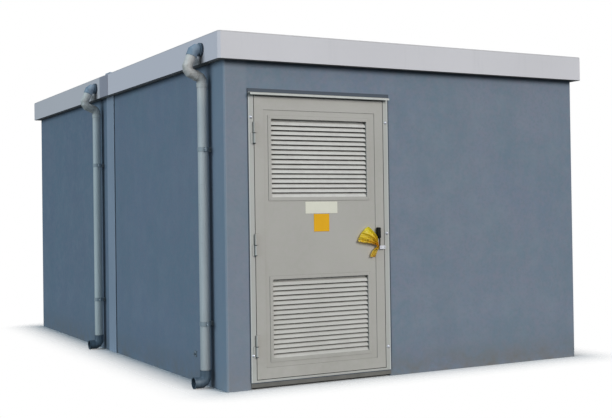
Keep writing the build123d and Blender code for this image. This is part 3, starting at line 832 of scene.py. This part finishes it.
def strip_gaps():
    """Painted shade in the open joint along the front edge of both wall strips, as a dark bar."""
    sides = []
    for low, high, outer, wall in ((left_strip_low, left_strip_high, -1, wall_left),
                                   (right_strip_low, right_strip_high, 1, -wall_left)):
        near = (wall + outer * strip_gap_proud, low.y - strip_gap_width, low.z)
        far = (wall, low.y, high.z)
        corners = [tuple(map(pick, near, far)) for pick in (min, max)]
        sides.append(bar("strip gap", *corners, joint_shade))
    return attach(joined("strip_gaps", sides), "building")


def frame_sealant():
    """The dark bead all the way round the door frame, at the wall and the threshold: sealant and
    painted shade.
    """
    left = frame_low.x - sealant_left_width
    right = frame_high.x + sealant_right_width
    top = frame_high.z + sealant_top_height
    foot = frame_low.z - sealant_foot_height
    face = frame_low.y - sealant_past_frame
    sides = {
        "left bead": ((left, wall_front - sealant_left_proud, frame_low.z),
                      (frame_low.x, wall_front, frame_high.z)),
        "right bead": ((frame_high.x, wall_front - sealant_right_proud, frame_low.z),
                       (right, wall_front, frame_high.z)),
        "top bead": ((left, face, cap_top), (right, wall_front, top)),
        "foot bead": ((frame_low.x, face, foot),
                      (frame_high.x, wall_front - sealant_foot_proud, frame_low.z)),
    }
    beads = [bar(name, *corners, dark_sealant) for name, corners in sides.items()]
    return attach(joined("frame_sealant", beads), "building")


def louvre_lips():
    """The folded lip behind each louvre's top slat, which closes the gap under the frame's head."""
    lips = []
    for name in ("upper_louvre", "lower_louvre"):
        slats_low, slats_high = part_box(name + "_slats")
        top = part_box(name + "_frame")[1].z - louvre_border
        back = slats_high.y
        lips.append(bar("lip", (slats_low.x, back, top - louvre_lip_height),
                        (slats_high.x, back + louvre_lip_sheet, top), lit_upper_slat_paint))
    lip = joined("louvre_lips", lips)
    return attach(lip, "door")


def hinge_rings():
    """A dark ring of painted shade round the top and the foot of the knuckle that stays on the
    frame.
    """
    radius = hinge_barrel_radius + hinge_ring_proud
    edge = radius * hinge_ring_edge_share
    outline = [(edge, 0), (radius, hinge_ring_height * hinge_ring_easing),
               (radius, hinge_ring_height * (1 - hinge_ring_easing)), (edge, hinge_ring_height)]
    ring = turned_head("hinge ring", outline, (0, 0, 1), joint_shade)
    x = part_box("leaf_hinges")[0].x + hinge_barrel_radius
    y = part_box("frame_hinges")[0].y + hinge_barrel_radius
    places = []
    for middle in hinge_heights:
        places += [(x, y, middle - hinge_length / 2),
                   (x, y, middle - hinge_half_gap - hinge_ring_height)]
    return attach(repeated("hinge_rings", ring, places, joint_shade), "building")


def louvre_rivets():
    """Small heads in the corners and at the middle of every side of both louvre frames."""
    outline = domed(rivet_radius, rivet_height, steps=3)
    head = turned_head("rivet", outline, (0, -1, 0), door_paint, sides=12)
    places = []
    for name in ("upper_louvre_frame", "lower_louvre_frame"):
        low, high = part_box(name)
        middle = (low + high) / 2
        foot_z, head_z = low.z + rivet_inset, high.z - rivet_inset
        for x in (low.x + rivet_inset, high.x - rivet_inset):
            places += [(x, low.y, z) for z in (foot_z, middle.z, head_z)]
        places += [(middle.x, low.y, z) for z in (foot_z, head_z)]
    rivets = repeated("louvre_rivets", head, places, door_paint)
    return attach(rivets, "door")


# Knotted film at the hasp

film_width = 0.158
film_columns = 140
film_step = 0.0025
film_search_step = 0.01
film_bulge = 0.015
film_turn_reach = 0.05
knot_place = 6
knot_spread = 2.6

# Pleats: how many, how high in the open fan and at the knot, and how unevenly they lie
broad_pleats = 3
broad_pleat_start = 1.1
fine_pleats = 8
fine_pleat_open = 0.25
fine_pleat_gathered = 0.45
fine_pleat_drift = 0.4
uneven_once = 0.05
uneven_once_start = 0.7
uneven_twice = 0.02
uneven_twice_drift = 0.6
tallest_pleat = 0.03
pleat_height_halvings = 16
crumple = 0.0034
coarse_crumple_scale = 60
fine_crumple_scale = 130

# Both edges of the film as seen from the front, from the fan's end through the knot to the tail's
# end. Each place is its distance from the wall's left corner and its height. Beside it stands its
# distance from the leaf.
film_outer_edge = [(1.188, 1.165), (1.205, 1.153), (1.237, 1.122), (1.265, 1.088), (1.278, 1.055),
                   (1.280, 1.030), (1.286, 1.014), (1.281, 0.997), (1.270, 0.976), (1.257, 0.951),
                   (1.244, 0.928)]
film_inner_edge = [(1.098, 1.053), (1.145, 1.043), (1.188, 1.039), (1.224, 1.032), (1.248, 1.025),
                   (1.263, 1.018), (1.268, 1.008), (1.257, 1.003), (1.236, 0.985), (1.219, 0.960),
                   (1.210, 0.933)]
film_stand_off = [0.014, 0.018, 0.021, 0.021, 0.019, 0.018, 0.018, 0.016, 0.014, 0.013, 0.012]


def film_edge(places):
    """An edge of the film as points in front of the leaf."""
    return [Vector((wall_left + x, leaf_front - out, z))
            for (x, z), out in zip(places, film_stand_off)]


def curve_point(points, place):
    """A point on the smooth curve through the points, at a place counted in points."""
    last = len(points) - 1
    i = min(int(place), last - 1)
    share = place - i
    before = points[max(i - 1, 0)]
    start = points[i]
    end = points[i + 1]
    after = points[min(i + 2, last)]
    return (start * 2 + (end - before) * share
            + (before * 2 - start * 5 + end * 4 - after) * share ** 2
            + (start * 3 - before - end * 3 + after) * share ** 3) * 0.5


def path_length(points):
    return sum((b - a).length for a, b in zip(points, points[1:]))


def film_row(start, end, out, place, height):
    """One row of the film between its edges: broad pleats in the fan, finer ones at the knot."""
    tight = math.exp(-((place - knot_place) / knot_spread) ** 2)
    row = []
    for column in range(film_columns + 1):
        share = column / film_columns
        uneven = share + uneven_once * math.sin(math.tau * share + uneven_once_start)
        uneven += uneven_twice * math.sin(2 * math.tau * share + place * uneven_twice_drift)
        broad = math.sin(math.tau * broad_pleats * uneven + broad_pleat_start)
        fine = math.sin(math.tau * fine_pleats * uneven + fine_pleat_drift * place)
        wave = (1 - tight) * broad + (fine_pleat_open + fine_pleat_gathered * tight) * fine
        row.append(start.lerp(end, share) + out * wave * height)
    return row


def gathered_row(start, end, out, place):
    """The row whose pleats stand just high enough to take up the film's whole width."""
    low = 0.0
    high = tallest_pleat
    for _ in range(pleat_height_halvings):
        height = (low + high) / 2
        if path_length(film_row(start, end, out, place, height)) < film_width:
            low = height
        else:
            high = height
    return film_row(start, end, out, place, low)


def film_places(outer, inner):
    """Places along the film whose middles lie about one step apart, from end to end."""
    last = len(outer) - 1
    places = [0.0]
    middle = (outer[0] + inner[0]) / 2
    while places[-1] < last:
        ahead = places[-1]
        step = 0
        while ahead < last and step < film_step:
            ahead = min(ahead + film_search_step, last)
            there = (curve_point(outer, ahead) + curve_point(inner, ahead)) / 2
            step = (there - middle).length
        places.append(ahead)
        middle = there
    return places


def knotted_film():
    """A strip of film, pleated together at the hasp, open to a fan on the left and short below."""
    outer = film_edge(film_outer_edge)
    inner = film_edge(film_inner_edge)
    last = len(outer) - 1
    places = film_places(outer, inner)
    vertices = []
    for place in places:
        start = curve_point(outer, place)
        end = curve_point(inner, place)
        back = max(place - film_turn_reach, 0)
        on = min(place + film_turn_reach, last)
        onward = (curve_point(outer, on) + curve_point(inner, on)
                  - curve_point(outer, back) - curve_point(inner, back)).normalized()
        across = (end - start).normalized()
        out = across.cross(onward).normalized()
        if out.y > 0:
            out = -out
        bulge = film_bulge * max(0, 1 - place / 2) ** 2
        for column, point in enumerate(gathered_row(start, end, out, place)):
            share = column / film_columns
            point = point - onward * bulge * 4 * share * (1 - share)
            rough = noise.noise(point * coarse_crumple_scale)
            rough += 0.5 * noise.noise(point * fine_crumple_scale)
            vertices.append(point + out * crumple * rough)
    faces = []
    columns = film_columns + 1
    for row in range(len(places) - 1):
        for column in range(film_columns):
            a = row * columns + column
            faces.append((a, a + 1, a + columns + 1, a + columns))
    tag = smooth_piece("yellow_film", vertices, faces, film)
    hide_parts("yellow_tag")
    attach(tag, "door")
    return tag


frame_bolts()
strip_fixings()
clamp_screws()
earth_stud()
strip_gaps()
frame_sealant()
louvre_lips()
hinge_rings()
louvre_rivets()
knotted_film()


# Floor, light and camera


def faded_floor():
    """A pale floor that takes the shadow and fades into the white behind it."""
    finish = Finish("pale floor", 0.9, specular=0.1)
    finish.paint(floor_colour)
    outward = finish.vector_maths("ABSOLUTE", finish.place)["Vector"]
    plain = (-cad_low.x - floor_inset[0], -cad_low.y - floor_inset[1], 1)
    beyond = finish.vector_maths("SUBTRACT", outward, plain)["Vector"]
    beyond = finish.vector_maths("MAXIMUM", beyond)["Vector"]
    distance = finish.vector_maths("LENGTH", beyond)["Value"]
    shown = finish.ramp(distance, 0, floor_fade, 1, 0)
    finish.feed(finish.surface, "Alpha", finish.product(shown, shown))
    size = floor_half_size
    height = cad_low.z - floor_drop
    corners = [(-size, -size, height), (size, -size, height), (size, size, height),
               (-size, size, height)]
    mesh = bpy.data.meshes.new("floor")
    mesh.from_pydata(corners, [], [(0, 1, 2, 3)])
    placed("floor", mesh, finish.material)


def soft_world():
    """A soft sky, brightest overhead, and plain white behind the object."""
    world = bpy.data.worlds.new("studio")
    bpy.context.scene.world = world
    world.use_nodes = True
    tree = world.node_tree
    tree.nodes.clear()
    sky = tree.nodes.new("ShaderNodeBackground")
    sky.inputs["Color"].default_value = sky_colour
    direction = tree.nodes.new("ShaderNodeTexCoord")
    split = tree.nodes.new("ShaderNodeSeparateXYZ")
    height = tree.nodes.new("ShaderNodeMapRange")
    height.inputs["From Min"].default_value = sky_heights[0]
    height.inputs["From Max"].default_value = sky_heights[1]
    height.inputs["To Min"].default_value = sky_below
    height.inputs["To Max"].default_value = sky_above
    white = tree.nodes.new("ShaderNodeBackground")
    white.inputs["Color"].default_value = (1, 1, 1, 1)
    path = tree.nodes.new("ShaderNodeLightPath")
    either = tree.nodes.new("ShaderNodeMath")
    either.operation = "MAXIMUM"
    blend = tree.nodes.new("ShaderNodeMixShader")
    leave = tree.nodes.new("ShaderNodeOutputWorld")
    link = tree.links.new
    link(direction.outputs["Generated"], split.inputs["Vector"])
    link(split.outputs["Z"], height.inputs["Value"])
    link(height.outputs["Result"], sky.inputs["Strength"])
    link(path.outputs["Is Camera Ray"], either.inputs[0])
    link(path.outputs["Is Transmission Ray"], either.inputs[1])
    link(either.outputs["Value"], blend.inputs[0])
    link(sky.outputs["Background"], blend.inputs[1])
    link(white.outputs["Background"], blend.inputs[2])
    link(blend.outputs["Shader"], leave.inputs["Surface"])


def sun(name, toward, strength, colour, spread):
    """A broad soft light from one direction."""
    data = bpy.data.lights.new(name, "SUN")
    data.energy = strength
    data.color = colour
    data.angle = math.radians(spread)
    lamp = placed(name, data)
    lamp.rotation_mode = "QUATERNION"
    lamp.rotation_quaternion = (-Vector(toward)).to_track_quat("-Z", "Y")


def photo_camera():
    """The camera that took the photograph, as fitted to the object's edges in it."""
    data = bpy.data.cameras.new("photo camera")
    data.sensor_width = camera_sensor_width
    data.lens = camera_focal_pixels * camera_sensor_width / photo_width
    data.shift_x = -(photo_centre[0] - photo_width / 2) / photo_width
    data.shift_y = (photo_centre[1] - photo_height / 2) / photo_width
    data.clip_end = camera_reach
    camera = placed("photo camera", data)
    level = Matrix.Rotation(math.radians(90) + camera_tilt, 4, "X")
    turned = Matrix.Rotation(-camera_turn, 4, "Z") @ level
    roll = Matrix.Rotation(camera_roll, 4, "Z")
    camera.matrix_world = Matrix.Translation(camera_place) @ turned @ roll
    bpy.context.scene.camera = camera


faded_floor()
soft_world()
sun("front light", *front_light)
sun("side light", *side_light)
photo_camera()
bpy.context.scene.view_settings.view_transform = "Standard"
